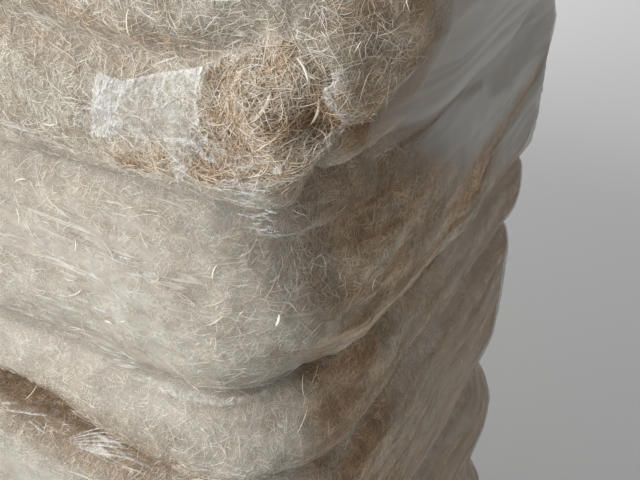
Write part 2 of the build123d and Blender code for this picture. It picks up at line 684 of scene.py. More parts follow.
def edge_shape(run, corner, table):
    """How far an edge is drawn in along its run, and where that starts and is complete."""
    shape = [plain + more * corner for plain, more in (plain_draw_in, plain_draw_in_start)]
    shape.append(np.zeros(len(run)))
    if table:
        runs, *columns = np.array(table).T
        inside = window(-0.66, -0.34, 0.33, 0.37, run)
        for i, column in enumerate(columns):
            shape[i] = shape[i] + inside * (np.interp(run, runs, column) - shape[i])
    return shape


def make_batt(index):
    """A batt as a block with rounded corners, remeshed and pressed into a soft form."""
    cad_name = batt_names[index]
    low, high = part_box(cad_name)
    bpy.ops.mesh.primitive_cube_add(size=1, location=(low + high) / 2)
    batt = new_piece("soft_" + cad_name)
    batt.scale = high - low
    apply_place(batt)
    select_edges(batt, lambda a, b: abs(a.z - b.z) > 0.01)
    bpy.ops.mesh.bevel(offset=corner_radius[index], segments=10, affect="EDGES")
    top_batt = index == len(batt_names) - 1
    upper_radius = top_edge_radius if top_batt else edge_radius
    for face, radius in ((low.z, edge_radius), (high.z, upper_radius)):
        select_edges(batt, lambda a, b: max(abs(a.z - face), abs(b.z - face)) < 0.001)
        bpy.ops.mesh.bevel(offset=radius, segments=5, affect="EDGES")
    object_mode()
    remesh = batt.modifiers.new("even mesh", "REMESH")
    remesh.mode = "VOXEL"
    remesh.voxel_size = batt_mesh
    apply_modifiers(batt)

    outline = batt_outline(cad_name)
    for share in finer_from:
        centres = face_centres(batt)
        near = near_corner(outline.run(centres), centres[:, 2])
        select_faces(batt, near * (outline.depth(centres) < 0.05) > share)
        bpy.ops.mesh.subdivide(number_cuts=1, smoothness=0)
        object_mode()
    start = points_of(batt)
    pressed = press_batt(batt, cad_name, outline, low, high)
    paint_batt(batt, cad_name, outline, low, high, start, pressed)
    lay_map(batt, outline.run(start), pressed[:, 2], outline.total, flat=True)
    bpy.ops.object.shade_smooth()
    return batt


def press_batt(batt, cad_name, outline, low, high):
    """Gives the sides their bulge, lumps and hollows, and draws the edges in."""
    index = batt_names.index(cad_name)
    points = points_of(batt)
    level = (points[:, 2] - (low.z + high.z) / 2) / ((high.z - low.z) / 2)
    depth = outline.depth(points)
    corner = outline.cornered(points, 0.05)
    run, height = outline.run(points), points[:, 2].copy()
    near = near_corner(run, height)
    rim = 1 - smooth_step(0.012, 0.115, depth)

    outward = side_bulge * (1 - level**2) - side_inset
    for order, (size, amount) in enumerate(coarse_lumps):
        outward += amount * rough(points, size, 11 * index + order)
    for order, (size, amount) in enumerate(fine_lumps):
        chosen = near > 0.01
        bumps = np.zeros(len(points))
        bumps[chosen] = rough(points[chosen], size, 11 * index + order + 3)
        outward += amount * near * bumps
    for hollow_batt, line, width, amount in hollows:
        if hollow_batt == cad_name:
            outward -= amount * hump(line_distance(run, height, line), width)
    outward *= side_share(depth)
    inward = np.zeros(len(points))
    for above, table in ((height - low.z, lower_edges), (high.z - height, upper_edges)):
        drawn_in, begin, full = edge_shape(run, corner, table.get(cad_name))
        inward += rim * drawn_in * (1 - smooth_step(full, begin, above))
    facing = outline.facing(points)
    wide_facing = Outline(low, high, draw_in_radius).facing(points)
    points[:, :2] += outward[:, None] * facing - inward[:, None] * wide_facing

    if cad_name == batt_names[-1]:
        upper = smooth_step(0.3, 1.0, level)
        points[:, 2] += upper * (0.004 * rough(points, 0.10, 71) - 0.003)
    move_points(batt, points)
    return points


def paint_batt(batt, cad_name, outline, low, high, start, pressed):
    """Stores how bare the fibre is, how much shade is painted on it, how far it is on the end, and
    how many loose fibres cover it, by where its points were before they were pressed."""
    run, height, depth = outline.run(start), start[:, 2], outline.depth(start)
    bare, painted_shade = np.zeros(len(run)), np.zeros(len(run))
    torn = np.full(len(run), far_away)
    if cad_name == batt_names[-1]:
        torn = tear_distance(run, height)
        bare = 0.85 * (1 - smooth_step(-0.008, 0.012, torn))
        bare *= 0.72 + 0.55 * rough(pressed, 0.016, 41)
    # Browner and darker near each batt's upper and lower edges, along the grooves between the
    # batts
    gap = np.minimum(height - low.z, high.z - height)
    groove = (1 - smooth_step(0.002, 0.016, gap)) * 0.35
    bare = np.maximum(bare, groove * (height < 0.6))
    # Some bands also paint shade into hollows, grooves and recesses and onto the shaded end
    for band_batt, line, width, brown, dark in brown_and_shade_bands:
        if band_batt == cad_name:
            band = hump(line_distance(run, height, line), width)
            bare = np.maximum(bare, brown * band)
            painted_shade = np.maximum(painted_shade, dark * band)
    end = np.abs(outline.facing(start)[:, 0]) ** 3 * smooth_step(0.0, 0.030, np.abs(run))
    paint(batt, "bare", bare)
    paint(batt, "painted_shade", painted_shade)
    paint(batt, "end", end * side_share(depth))

    close = window(-0.24, -0.14, 0.000, 0.030, run) * smooth_step(0.29, 0.33, height)
    clinging = 0.15 + 0.40 * smooth_step(0.52, 0.55, height)
    nook = window(-0.020, 0.000, 0.020, 0.050, run) * window(0.45, 0.48, 0.57, 0.60, height)
    cover = 0.020 * (run < 0) + clinging * close
    cover += 1.5 * (1 - smooth_step(-0.004, 0.006, torn))
    cover = np.maximum(cover, 0.5 * nook) * (1 - 0.5 * painted_shade)
    open_side = (depth < 0.055) & (gap > 0.003) & (height > 0.012)
    paint(batt, "cover", np.maximum(cover, 0.004) * open_side)


batts = [make_batt(i) for i in range(len(batt_names))]


# Film

stack_low = np.min([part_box(name)[0] for name in batt_names], axis=0)
stack_high = np.max([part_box(name)[1] for name in batt_names], axis=0)
stack_outline = Outline(stack_low, stack_high, corner_radius[-1])
film_outline = Outline(stack_low, stack_high, film_corner_radius)
stack_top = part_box(batt_names[-1])[1].z


def film_runs():
    """Runs of the film's columns, closer together round the front right corner."""
    fine_low, fine_high = film_fine_run
    fine = np.arange(fine_low, fine_high, film_column_fine)
    rest = film_outline.total - (fine_high - fine_low)
    count = round(rest / film_column_coarse)
    return np.concatenate([fine, fine_high + np.arange(count) * rest / count])


def film_path():
    """The film's rows, up the side, over the edge and in over the top: for each row its
    length along the way, its turn from the side to the top, and how far up or in it is."""
    edge = top_edge_radius
    rise = stack_top - edge
    low = np.arange(film_foot, film_fine_height, film_rows_low)
    high = np.arange(film_fine_height, rise, film_rows_high)
    rows = [(height, 0.0, height) for height in (*low, *high)]
    arc = edge * math.pi / 2
    for share in np.linspace(0, 1, 12)[1:-1]:
        rows.append((rise + share * arc, share * math.pi / 2, 0.0))
    for inward in np.linspace(0, film_rim - edge, 12):
        rows.append((rise + arc + inward, math.pi / 2, edge + inward))
    return rows


def tree_of(pieces):
    points, faces = [], []
    for piece in pieces:
        start = len(points)
        points += [v.co.copy() for v in piece.data.vertices]
        faces += [[start + i for i in p.vertices] for p in piece.data.polygons]
    return BVHTree.FromPolygons(points, faces)


def film_rays(runs, rows):
    """Where each ray starts outside the film, and which way it points inwards."""
    starts = np.zeros((len(rows), len(runs), 3))
    ways = np.zeros_like(starts)
    edge = top_edge_radius
    uneven = film_rim_uneven * noise_at([(run * 22, 0, 5) for run in runs])
    for j, (_, turn, where) in enumerate(rows):
        for i, run in enumerate(runs):
            if turn == 0:
                place, facing = film_outline.place(run, -film_start)
                starts[j, i] = (*place, where)
                ways[j, i, :2] = -facing
            elif where == 0:
                reach = edge + film_start
                place, facing = film_outline.place(run, edge - reach * math.cos(turn))
                starts[j, i] = (*place, stack_top - edge + reach * math.sin(turn))
                ways[j, i] = (*(-facing * math.cos(turn)), -math.sin(turn))
            else:
                share = (where - edge) / (film_rim - edge)
                place, facing = film_outline.place(run, where + share * uneven[i])
                starts[j, i] = (*place, stack_top + film_start)
                ways[j, i] = (0, 0, -1)
    return starts, ways


def pull_tight(depths, steps, slope, axis, wrap, reach):
    """Lifts the film over hollows, so that it leaves what it touches at most at a slope."""
    tight = depths.copy()
    for way in (1, -1):
        near, travelled = depths.copy(), np.zeros_like(depths)
        for _ in range(reach):
            near = np.roll(near, way, axis=axis)
            travelled = np.roll(travelled, way, axis=axis)
            travelled += steps if way == 1 else np.roll(steps, -1, axis=axis)
            if not wrap:
                edge = [slice(None)] * 2
                edge[axis] = 0 if way == 1 else -1
                near[tuple(edge)] = far_away
            tight = np.minimum(tight, near + slope * travelled)
    return tight


def eased(depths, rounds):
    """Evens out sharp corners in the film's lie."""
    for _ in range(rounds):
        for axis in (0, 1):
            before, after = (np.roll(depths, way, axis=axis) for way in (1, -1))
            if axis == 0:
                before[0], after[-1] = depths[0], depths[-1]
            depths = (before + 2 * depths + after) / 4
    return depths


def crease(run, up):
    """How far the film stands up in long and in short folds along the stack, from 0 to 1."""
    where = noise_at(np.column_stack([run / 0.090, up / 0.050, np.full(len(run), 23.0)]))
    long_folds = sharp_folds(run, up, length=0.110, spacing=0.0085, seed=3.0, narrow=3.2)
    short_folds = sharp_folds(run, up, length=0.045, spacing=0.0045, seed=12.0, narrow=3.2)
    return long_folds * smooth_step(-0.15, 0.35, where), short_folds


def film_depths(runs, lengths, starts, ways):
    """How far along its ray each point of the film lies, pulled tight over the hollows."""
    tree = tree_of(batts)
    touched = np.full(starts.shape[:2], film_untouched)
    for j in range(len(lengths)):
        for i in range(len(runs)):
            hit = tree.ray_cast(Vector(starts[j, i]), Vector(ways[j, i]), ray_reach)
            if hit[0] is not None:
                touched[j, i] = hit[3]
    row_steps = np.diff(lengths, prepend=lengths[0])[:, None]
    column_steps = np.diff(runs, prepend=runs[-1] - film_outline.total)[None, :]
    row_steps = np.broadcast_to(row_steps, touched.shape).copy()
    column_steps = np.broadcast_to(column_steps, touched.shape).copy()
    on_end = window(0.006, 0.110, 0.20, 0.34, runs)
    slope = np.tile(film_slope - film_slope_less * on_end, (len(lengths), 1))
    at_corner = smooth_step(-0.11, -0.05, runs) * (1 - on_end)
    for height, reach, away, near in film_bridges:
        bridged = hump(lengths - height, reach)[:, None]
        slope -= (away + (near - away) * at_corner)[None, :] * bridged * (1 - on_end)[None, :]
    depths = pull_tight(touched, row_steps, slope, 0, False, film_reach_rows)
    depths = pull_tight(depths, column_steps, film_slope_along, 1, True, film_reach_columns)
    return np.minimum(eased(depths, film_easing), touched)


def make_film():
    runs, rows = film_runs(), film_path()
    lengths = np.array([row[0] for row in rows])
    starts, ways = film_rays(runs, rows)
    depths = film_depths(runs, lengths, starts, ways)
    run_grid, up_grid = np.meshgrid(runs, lengths)
    long_folds, short_folds = crease(run_grid.ravel(), up_grid.ravel())
    raised = (long_fold * long_folds + short_fold * short_folds).reshape(depths.shape)
    points = starts + ways * (depths - film_gap - raised)[..., None]

    film, along, up = make_grid("film", len(runs), len(rows) - 1)
    column = np.round(along * len(runs)).astype(int)
    row = np.round(up * (len(rows) - 1)).astype(int)
    run = np.append(runs, runs[0] + film_outline.total)[column]
    up = lengths[row]
    column %= len(runs)
    points = points[row, column]
    move_points(film, points)
    run = film_outline.shorter_way(run)
    lay_map(film, run, up, film_outline.total)
    paint(film, "torn", tear_distance(stack_outline.run(points), up, tear_near))
    paint(film, "crease", raised[row, column] / full_fold)
    paint(film, "haze", film_haze(run, up))
    paint(film, "end", window(-0.030, 0.020, *end_to_back, run))
    bpy.ops.object.mode_set(mode="EDIT")
    bpy.ops.mesh.select_all(action="SELECT")
    bpy.ops.mesh.remove_doubles(threshold=0.00001)
    object_mode()
    open_tears(film)
    bpy.ops.object.shade_smooth()
    return film


def open_tears(film):
    """Takes out the film's faces well inside the tears."""
    centres = face_centres(film)
    inside = tear_distance(stack_outline.run(centres), centres[:, 2]) < tear_open
    select_faces(film, inside & (stack_outline.depth(centres) < 0.03))
    bpy.ops.mesh.delete(type="FACE")
    object_mode()


def film_haze(run, up):
    """How milky the film is at each place: clearer round the tears, milky on the end."""
    front = np.maximum(smooth_step(-0.06, 0.00, -run), smooth_step(0.44, 0.52, run))
    upper = smooth_step(0.505, 0.545, up)
    haze = 0.12 + 0.12 * (1 - upper) * front
    haze -= 0.06 * upper * front * smooth_step(-0.20, -0.12, run)
    haze -= 0.30 * hump(line_distance(run, up, clear_recess), 0.025)
    pleated = window(-0.085, -0.050, -0.024, -0.010, run)
    haze += 0.05 * pleated * hump(up - 0.526, 0.015)
    haze -= 0.05 * pleated * (1 - upper)
    beyond = 1 - smooth_step(*end_to_back, run)
    end = smooth_step(-0.016, 0.008, run) * beyond
    lower_nook = (1 - smooth_step(0.07, 0.13, run)) * (1 - smooth_step(0.572, 0.592, up))
    haze -= 0.11 * end * lower_nook
    haze += 0.22 * smooth_step(0.07, 0.20, run) * beyond
    tent = smooth_step(0.004, 0.036, run - 0.6 * np.maximum(up - 0.577, 0)) * beyond
    edge = 0.515 - 0.45 * (np.minimum(run, 0.26) - 0.09)
    haze += 0.50 * tent * smooth_step(-0.035, 0.025, up - edge)
    haze -= 0.45 * smooth_step(0.640, 0.675, up) * tent
    for line, width, clearer in clear_streaks:
        haze -= clearer * hump(line_distance(run, up, line), width)
    return np.clip(haze, -0.10, 0.80)


film = make_film()


# Loose fibres: how many lie on a square metre of each batt where its cover is 1, their
# shapes, as length, width, bend, hook and cuts, their size, how far they tilt, and how far
# they stand off the batt
fibre_density = [420000, 420000, 420000, 420000, 450000, 375000]
fibre_forms = [
    (0.0080, 0.00024, 0.10, 0.00, 2), (0.0100, 0.00021, 0.05, 0.06, 3),
    (0.0060, 0.00026, 0.16, 0.00, 2), (0.0120, 0.00021, 0.03, -0.05, 3),
    (0.0070, 0.00020, 0.13, 0.08, 2), (0.0036, 0.00036, 0.03, 0.02, 1),
]
fibre_sizes = (0.6, 1.4)
fibre_tilt = 0.16
fibre_lift = (-0.0002, 0.0012)


def make_fibre(name, length, width, bend, hook, cuts):
    """One fibre as a thin curved spindle with three sides, lying level on its middle."""
    fibre = make_rod(name, 3, cuts)
    points = points_of(fibre)
    share = points[:, 0] * 2
    taper = width * np.sqrt(np.clip(1.06 - share**2, 0.02, 1))
    points[:, 1:] *= taper[:, None]
    points[:, 0] = share * length / 2
    points[:, 1] += bend * length * (share**2 - 0.4) + hook * length * share**3
    points[:, 2] += width * 0.4 + 0.06 * length * bend * (1 - share**2)
    move_points(fibre, points)
    bpy.ops.object.shade_smooth()
    return fibre


def scatter_nodes(name, shapes, density, seed):
    """Geometry nodes that strew the shapes over a batt's sides, by its cover, and make
    each one real, with a tone of its own."""
    one_mesh = [("Geometry", "Geometry")]
    tree, start, end = node_group(name, "GeometryNodeTree", one_mesh, one_mesh)
    cover = add_node(
        tree, "GeometryNodeInputNamedAttribute", {"Name": "cover"}, data_type="FLOAT"
    )
    amount = maths(tree, "MULTIPLY", cover.outputs["Attribute"], density)
    spread = add_node(tree, "GeometryNodeDistributePointsOnFaces", {
        "Mesh": start.outputs["Geometry"], "Density": amount, "Seed": seed,
    })
    pick = add_node(tree, "GeometryNodeCollectionInfo", {
        "Collection": shapes, "Separate Children": True, "Reset Children": True,
    })
    tilt = fibre_tilt
    turn = random_vector(tree, (-tilt, -tilt, 0.0), (tilt, tilt, math.tau), seed + 1)
    turned = add_node(tree, "FunctionNodeEulerToRotation", {0: turn})
    laid = add_node(tree, "FunctionNodeRotateRotation", {
        "Rotation": spread.outputs["Rotation"], "Rotate By": turned.outputs[0],
    }, rotation_space="LOCAL")
    scale = random_number(tree, *fibre_sizes, seed + 2)
    strewn = add_node(tree, "GeometryNodeInstanceOnPoints", {
        "Points": spread.outputs["Points"], "Instance": pick.outputs[0],
        "Pick Instance": True, "Rotation": laid.outputs[0], "Scale": scale,
    })
    rise = random_vector(tree, *((0.0, 0.0, lift) for lift in fibre_lift), seed + 3)
    raised = add_node(tree, "GeometryNodeTranslateInstances", {
        "Instances": strewn.outputs[0], "Translation": rise, "Local Space": True,
    })
    tone = random_number(tree, 0.0, 1.0, seed + 4)
    toned = add_node(tree, "GeometryNodeStoreNamedAttribute", {
        "Geometry": raised.outputs[0], "Name": "tone", "Value": tone,
    }, data_type="FLOAT", domain="INSTANCE")
    real = add_node(tree, "GeometryNodeRealizeInstances", {"Geometry": toned.outputs[0]})
    tree.links.new(real.outputs[0], end.inputs[0])
    return tree


# Materials

def fibre_layer():
    """One layer of short fibres, all lying the same way."""
    group, start, end = node_group(
        "layer of fibres", "ShaderNodeTree",
        [("Place", "Vector"), ("Angle", "Float"), ("Seed", "Float"),
         ("Length", "Float"), ("Width", "Float")],
        [("Strand", "Float"), ("Tone", "Float"), ("Lift", "Float")],
    )
    seed = add_node(group, "ShaderNodeCombineXYZ", {
        "X": start.outputs["Seed"], "Y": maths(group, "MULTIPLY", start.outputs["Seed"], 1.7),
    }).outputs[0]
    place = vector_maths(group, "ADD", start.outputs["Place"], seed)
    turned = add_node(group, "ShaderNodeVectorRotate", {
        "Vector": place, "Angle": start.outputs["Angle"],
    }, rotation_type="Z_AXIS")
    stretch = add_node(group, "ShaderNodeCombineXYZ", {
        "X": maths(group, "DIVIDE", 0.7, start.outputs["Length"]),
        "Y": maths(group, "DIVIDE", 0.7, start.outputs["Width"]),
    }).outputs[0]
    cells = add_node(group, "ShaderNodeTexVoronoi", {
        "Vector": vector_maths(group, "MULTIPLY", turned.outputs[0], stretch), "Scale": 1.0,
    }, voronoi_dimensions="2D")
    chance = add_node(group, "ShaderNodeSeparateColor", {"Color": cells.outputs["Color"]})
    strand = step_between(group, cells.outputs["Distance"], 0.36, 0.12)
    kept = step_between(group, chance.outputs["Blue"], 0.22, 0.30)
    group.links.new(maths(group, "MULTIPLY", strand, kept), end.inputs["Strand"])
    group.links.new(chance.outputs["Red"], end.inputs["Tone"])
    group.links.new(chance.outputs["Green"], end.inputs["Lift"])
    return group


def matted_fibres(layer, name, layers):
    """Layers of bent fibres over each other, each with its angle, length and width."""
    group, start, end = node_group(
        name, "ShaderNodeTree",
        [("Place", "Vector"), ("Length", "Float"), ("Width", "Float")],
        [("Tone", "Float"), ("Height", "Float")],
    )
    wave = add_node(group, "ShaderNodeTexNoise", {
        "Vector": start.outputs["Place"], "Scale": 70.0, "Detail": 1.5, "Roughness": 0.6,
    }, noise_dimensions="2D")
    push = vector_maths(group, "SUBTRACT", wave.outputs["Color"], (0.5, 0.5, 0.5))
    push = vector_maths(group, "MULTIPLY", push, (0.0075, 0.0075, 0.0))
    bent = vector_maths(group, "ADD", start.outputs["Place"], push)
    tone, height = 0.30, 0.0
    for order, (angle, long, wide) in enumerate(layers):
        fibres = use_group(group, layer, {
            "Place": bent, "Angle": angle, "Seed": 3.17 * order + 1.0,
            "Length": maths(group, "MULTIPLY", start.outputs["Length"], long),
            "Width": maths(group, "MULTIPLY", start.outputs["Width"], wide),
        })
        strand = fibres.outputs["Strand"]
        tone = blend_numbers(group, strand, tone, fibres.outputs["Tone"])
        high = maths(group, "MULTIPLY_ADD", fibres.outputs["Lift"], 0.55, 0.45)
        high = maths(group, "MULTIPLY", high, strand)
        under = maths(group, "MULTIPLY", height, 0.86)
        height = maths(group, "MAXIMUM", under, high)
    group.links.new(tone, end.inputs["Tone"])
    group.links.new(height, end.inputs["Height"])
    return group


pale_fibre = [
    (0.0, (0.36, 0.27, 0.18)), (0.12, (0.64, 0.54, 0.40)), (0.32, (0.83, 0.75, 0.61)),
    (0.65, (0.96, 0.91, 0.80)), (1.0, (1.00, 0.99, 0.95)),
]
tan_fibre = [
    (0.0, (0.32, 0.18, 0.09)), (0.15, (0.54, 0.34, 0.19)), (0.38, (0.76, 0.53, 0.33)),
    (0.70, (0.95, 0.78, 0.58)), (1.0, (1.00, 0.95, 0.86)),
]


def fibre_patches(tree):
    """How brown the fibre is by itself, in patches over the stack, and its clumps."""
    place = object_place(tree)
    wide = add_node(tree, "ShaderNodeTexNoise", {"Vector": place, "Scale": 11.0, "Detail": 2.0})
    small = add_node(tree, "ShaderNodeTexNoise", {"Vector": place, "Scale": 75.0, "Detail": 1.5})
    wide_share = step_between(tree, wide.outputs[0], 0.44, 0.70, 0.0, 0.45)
    small_share = step_between(tree, small.outputs[0], 0.50, 0.66, 0.0, 0.40)
    return maths(tree, "ADD", wide_share, small_share), small.outputs[0]


def stretched_noise(tree, place, along, across, detail, seed):
    """Noise drawn out along the stack, over a surface map in metres."""
    stretched = vector_maths(tree, "MULTIPLY", place, (along, across, 1.0))
    moved = vector_maths(tree, "ADD", stretched, (seed, seed, 0.0))
    return add_node(tree, "ShaderNodeTexNoise", {
        "Vector": moved, "Scale": 1.0, "Detail": detail, "Roughness": 0.6, "Distortion": 0.3,
    }, noise_dimensions="2D").outputs[0]


def batt_material(matted):
    material, tree, shader = new_material("matted plant fibre", roughness=0.85, specular=0.25)
    place = surface_place(tree)
    bare, painted_shade, end = (attribute(tree, name) for name in ("bare", "painted_shade", "end"))
    fibres = use_group(tree, matted, {"Place": place, "Length": 0.0085, "Width": 0.00038})
    height = fibres.outputs["Height"]

    # On the end the fibre behind the film reads as a streaky grain in pale and brown lumps
    grain = stretched_noise(tree, place, along=9, across=80, detail=2.0, seed=2.6)
    grain = step_between(tree, grain, 0.30, 0.70, 0.12, 0.95)
    lumps = stretched_noise(tree, place, along=10, across=38, detail=1.0, seed=8.2)
    lumps = step_between(tree, lumps, 0.44, 0.56)
    end_share = maths(tree, "MULTIPLY", end, 0.75)
    tone = blend_numbers(tree, end_share, fibres.outputs["Tone"], grain)
    tone = maths(tree, "MULTIPLY", tone, maths(tree, "MULTIPLY_ADD", end, -0.22, 1.0))
    pale = colour_steps(tree, tone, pale_fibre)
    tan = colour_steps(tree, tone, tan_fibre)
    patches, clumps = fibre_patches(tree)
    brown = maths(tree, "MAXIMUM", bare, patches)
    end_brown = maths(tree, "MULTIPLY", end, maths(tree, "MULTIPLY_ADD", lumps, 0.50, 0.50))
    brown = maths(tree, "MAXIMUM", brown, end_brown)
    colour = blend_colours(tree, brown, pale, tan)

    # Painted shade: darker between the fibres and where shade is painted in the bands, and darker
    # in the browner clumps
    floor_level = blend_numbers(tree, bare, 0.46, 0.40)
    open_gap = step_between(tree, height, 0.05, 0.55)
    shade = blend_numbers(tree, open_gap, floor_level, 1.0)
    deep_shade = maths(tree, "MULTIPLY_ADD", painted_shade, -0.60, 1.0)
    end_shade = maths(tree, "MULTIPLY_ADD", end, 0.12, 1.0)
    shade = maths(tree, "MULTIPLY", shade, maths(tree, "MULTIPLY", deep_shade, end_shade))
    shade = maths(tree, "MULTIPLY", shade, step_between(tree, clumps, 0.66, 0.36, 0.84, 1.10))
    dark = add_node(tree, "ShaderNodeCombineColor", {"Red": shade, "Green": shade, "Blue": shade})
    colour = blend_colours(tree, 1.0, colour, dark.outputs[0], way="MULTIPLY")
    tree.links.new(colour, shader.inputs["Base Color"])
    height = maths(tree, "MULTIPLY", height, maths(tree, "MULTIPLY_ADD", end, -0.6, 1.0))
    add_bump(tree, shader, height, strength=0.9, distance=0.0011)
    return material


def loose_fibre_material():
    material, tree, shader = new_material("loose plant fibre", roughness=0.65, specular=0.3)
    tone, bare, painted_shade = (attribute(tree, name) for name in ("tone", "bare", "painted_shade"))
    # Painted shade: loose fibres are darker where shade is painted on the batt
    tone = maths(tree, "MULTIPLY", tone, maths(tree, "MULTIPLY_ADD", painted_shade, -0.8, 1.0))
    pale = colour_steps(tree, tone, pale_fibre)
    tan = colour_steps(tree, tone, tan_fibre)
    place = object_place(tree)
    clumps = add_node(tree, "ShaderNodeTexNoise", {"Vector": place, "Scale": 85.0, "Detail": 0.0})
    clumps = step_between(tree, clumps.outputs[0], 0.42, 0.58, 0.50, 1.20)
    brown = maths(tree, "MULTIPLY", bare, clumps, clamp=True)
    tree.links.new(blend_colours(tree, brown, pale, tan), shader.inputs["Base Color"])
    return material


def film_material(clinging):
    """Clear film with milky folds. On the front the fibre clings to its inner side."""
    material, tree, shader = new_material("stretch film", roughness=0.16, specular=0.55)
    place = surface_place(tree)
    torn, raised, haze, end = (
        attribute(tree, name) for name in ("torn", "crease", "haze", "end")
    )

    # Its colour is that of fibre on the front, and plain and darker on the end, as painted shade
    # on the shaded end
    tented = step_between(tree, haze, 0.25, 0.60)
    shaded_end_colour = blend_colours(tree, tented, (0.47, 0.39, 0.31, 1), (0.52, 0.50, 0.465, 1))
    fibres = use_group(tree, clinging, {"Place": place, "Length": 0.0070, "Width": 0.00036})
    fibre = colour_steps(tree, fibres.outputs["Tone"], [
        (0.0, (0.52, 0.44, 0.33)), (0.22, (0.84, 0.79, 0.68)), (0.34, (0.93, 0.90, 0.81)),
        (0.60, (1.00, 0.98, 0.91)), (1.0, (1.00, 1.00, 0.98)),
    ])
    tree.links.new(blend_colours(tree, end, fibre, shaded_end_colour), shader.inputs["Base Color"])

    # How much of it shows, by its haze, ridges and creases, and at its torn edges
    wide = stretched_noise(tree, place, along=5, across=45, detail=2.0, seed=1.3)
    fine = stretched_noise(tree, place, along=16, across=230, detail=1.0, seed=4.1)
    ridge = maths(tree, "ABSOLUTE", maths(tree, "SUBTRACT", fine, 0.5))
    ridge = step_between(tree, ridge, 0.045, 0.0)
    where = stretched_noise(tree, place, along=22, across=60, detail=0.0, seed=9.4)
    where = step_between(tree, where, 0.56, 0.68)
    ridge = maths(tree, "MULTIPLY", ridge, where)
    milky = step_between(tree, wide, 0.36, 0.66, 0.80, 1.20)
    alpha = maths(tree, "MULTIPLY", haze, milky)
    ridge = maths(tree, "MULTIPLY", ridge, maths(tree, "MULTIPLY_ADD", end, -0.65, 1.0))
    alpha = maths(tree, "MULTIPLY_ADD", ridge, 0.30, alpha)
    alpha = maths(tree, "MULTIPLY_ADD", raised, 0.07, alpha)
    edge = add_node(tree, "ShaderNodeLayerWeight", {"Blend": 0.32}).outputs["Facing"]
    alpha = maths(tree, "MULTIPLY_ADD", edge, 0.08, alpha)
    frayed = stretched_noise(tree, place, along=170, across=170, detail=1.0, seed=2.2)
    ragged = maths(tree, "MULTIPLY_ADD", maths(tree, "SUBTRACT", frayed, 0.5), 0.006, torn)
    lip = maths(tree, "MULTIPLY", step_between(tree, ragged, 0.0028, 0.0004), 0.12)
    alpha = maths(tree, "ADD", alpha, lip)
    there = step_between(tree, ragged, -0.0002, 0.0003)
    alpha = maths(tree, "MULTIPLY", maths(tree, "MINIMUM", alpha, 0.92), there, clamp=True)
    tree.links.new(alpha, shader.inputs["Alpha"])

    # Ridges are glossier and stand up, and the end is duller and smoother
    smooth = maths(tree, "MULTIPLY_ADD", ridge, -0.26, 0.38)
    tree.links.new(maths(tree, "MULTIPLY_ADD", end, 0.20, smooth), shader.inputs["Roughness"])
    height = maths(tree, "MULTIPLY_ADD", fine, 0.35, maths(tree, "MULTIPLY", wide, 0.6))
    height = maths(tree, "MULTIPLY_ADD", ridge, 0.40, height)
    height = maths(tree, "MULTIPLY", height, maths(tree, "MULTIPLY_ADD", end, -0.6, 1.0))
    add_bump(tree, shader, height, strength=0.7, distance=0.0014)
    return material


one_layer = fibre_layer()
matted = matted_fibres(one_layer, "matted fibres", [
    (0.15, 1.15, 1.2), (1.05, 0.8, 0.9), (2.00, 1.0, 1.0), (2.75, 0.9, 0.9),
])
clinging = matted_fibres(one_layer, "clinging fibres", [
    (0.35, 1.0, 1.3), (2.25, 0.9, 1.1),
])
batt_finish = batt_material(matted)
loose_finish = loose_fibre_material()
film_finish = film_material(clinging)
for batt in batts:
    coat(batt, batt_finish)
coat(film, film_finish)


# Strewing the loose fibres

fibre_shapes = bpy.data.collections.new("fibre shapes")
bpy.context.scene.collection.children.link(fibre_shapes)
for order, form in enumerate(fibre_forms):
    shape = make_fibre(f"fibre_shape_{order}", *form)
    for holder in list(shape.users_collection):
        holder.objects.unlink(shape)
    fibre_shapes.objects.link(shape)


def strew_fibres(batt, name, density, seed):
    fibres = copy_of(batt, name)
    scatter = fibres.modifiers.new("strewn fibres", "NODES")
    scatter.node_group = scatter_nodes(name, fibre_shapes, density, seed)
    apply_modifiers(fibres)
    coat(fibres, loose_finish)
    return fibres


loose = [
    strew_fibres(batt, f"loose_fibres_{index + 1}", fibre_density[index], 100 + 10 * index)
    for index, batt in enumerate(batts)
]
for shape in list(fibre_shapes.objects):
    bpy.data.objects.remove(shape)
bpy.data.collections.remove(fibre_shapes)


# Scraps and pleats of film, and straws

# Torn scraps of film on the top batt and in a groove, by their lower and upper lines
patch_lower = [
    (-0.1080, 0.5450), (-0.1010, 0.5462), (-0.0935, 0.5500), (-0.0800, 0.5520),
    (-0.0657, 0.5560), (-0.0520, 0.5565),
]
patch_upper = [
    (-0.1035, 0.5718), (-0.0970, 0.5713), (-0.0909, 0.5715), (-0.0723, 0.5793),
    (-0.0536, 0.5872),
]
flap_lower = [(-0.0676, 0.5365), (-0.0660, 0.5362)]
flap_upper = [(-0.0690, 0.5572), (-0.0600, 0.5590), (-0.0534, 0.5584)]
strip_lower = [(-0.0560, 0.5512), (-0.0450, 0.5500), (-0.0350, 0.5508), (-0.0240, 0.5525)]
strip_upper = [(-0.0560, 0.5595), (-0.0430, 0.5592), (-0.0319, 0.5584), (-0.0240, 0.5572)]
curl_left = [
    (-0.0088, 0.5925), (-0.0078, 0.5880), (-0.0112, 0.5842),
    (-0.0100, 0.5795), (-0.0068, 0.5758), (-0.0030, 0.5728),
]
curl_right = [
    (-0.0038, 0.5930), (-0.0030, 0.5882), (-0.0060, 0.5844),
    (-0.0054, 0.5802), (-0.0026, 0.5774), (0.0010, 0.5748),
]
rope_lower = [(-0.1080, 0.3962), (-0.0834, 0.3976), (-0.0657, 0.3984), (-0.0500, 0.4022)]
rope_upper = [(-0.1080, 0.4002), (-0.0834, 0.4022), (-0.0657, 0.4032), (-0.0500, 0.4066)]
